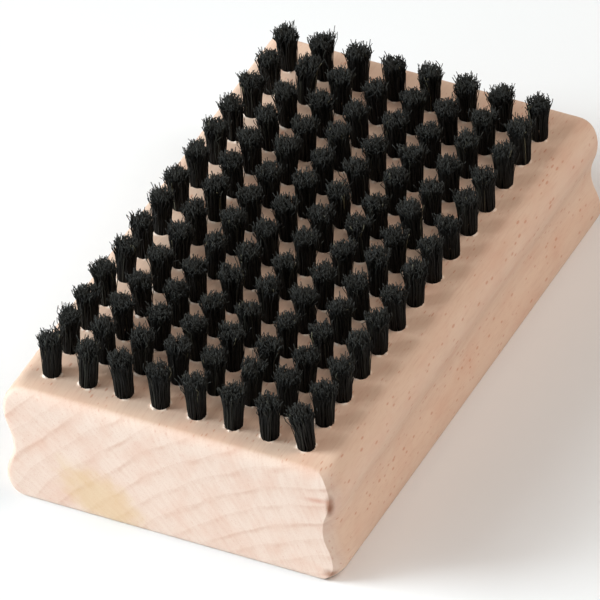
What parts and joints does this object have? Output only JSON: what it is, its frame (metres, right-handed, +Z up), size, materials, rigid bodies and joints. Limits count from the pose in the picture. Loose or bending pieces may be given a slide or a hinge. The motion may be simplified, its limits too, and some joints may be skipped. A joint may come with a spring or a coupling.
{
  "type": "block brush",
  "caption": "Solid beech block brush with finger coves along both sides and a drilled field of short stiff black bristle tufts, for dry scrubbing and brushing off dust and residue.",
  "frame": {"origin": "middle of the block's flat underside, the face that lies in the palm", "axes": "+Y along the block's length, +X across it, +Z up out of the bristles"},
  "size_m": [0.0736, 0.121, 0.037],
  "materials": {
    "beech": "planed and sanded, unvarnished",
    "black_fibre": "stiff dyed bristle, cut ends",
    "steel_wire": "flattened anchor wire"
  },
  "bodies": {
    "root": {"block": "beech", "bristle_row_01": "black_fibre", "bristle_row_02": "black_fibre", "bristle_row_03": "black_fibre", "bristle_row_04": "black_fibre", "bristle_row_05": "black_fibre", "bristle_row_06": "black_fibre", "bristle_row_07": "black_fibre", "bristle_row_08": "black_fibre", "bristle_row_09": "black_fibre", "bristle_row_10": "black_fibre", "bristle_row_11": "black_fibre", "bristle_row_12": "black_fibre", "bristle_row_13": "black_fibre", "bristle_row_14": "black_fibre"}
  },
  "joints": []
}
